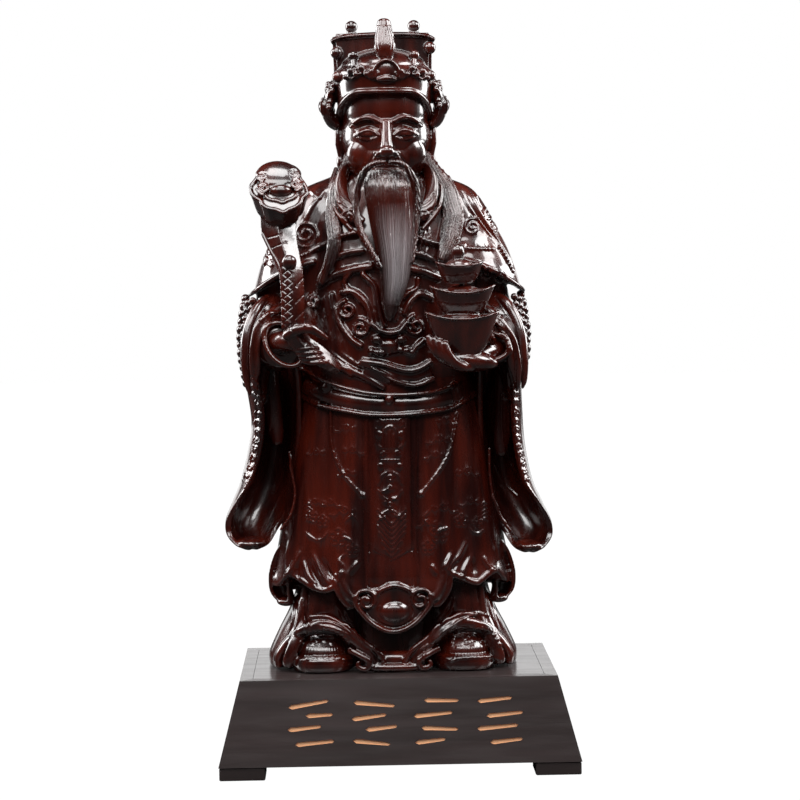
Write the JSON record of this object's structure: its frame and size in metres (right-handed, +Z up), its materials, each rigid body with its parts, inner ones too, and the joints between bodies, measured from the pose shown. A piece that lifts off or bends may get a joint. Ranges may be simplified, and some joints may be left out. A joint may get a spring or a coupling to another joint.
{
  "type": "wooden wealth god figure on plinth",
  "caption": "Carved dark wood figure of a bearded wealth god in court robes, holding a cloud-headed sceptre and stacked ingots, on a sloped hollow box plinth.",
  "frame": {"origin": "centre of the plinth's underside, on the surface that its four feet stand on", "axes": "+Z up through the figure's head; the figure faces -Y; +X to the viewer's right"},
  "size_m": [0.285, 0.2042, 0.5984],
  "materials": {
    "figure": "dark red-brown carved hardwood, waxed and lacquered to a gloss, lighter on worn edges",
    "plinth": "near-black stained hardwood boards, semi-gloss lacquer",
    "plinth_front": "near-black stained hardwood board, semi-gloss lacquer, shallow cut strokes filled with gold paint"
  },
  "bodies": {
    "root": {"figure": "figure", "plinth_top_panel": "plinth", "plinth_front_board": "plinth_front", "plinth_back_board": "plinth", "plinth_left_board": "plinth", "plinth_right_board": "plinth", "plinth_foot_front_left": "plinth", "plinth_foot_front_right": "plinth", "plinth_foot_back_left": "plinth", "plinth_foot_back_right": "plinth"}
  },
  "joints": []
}
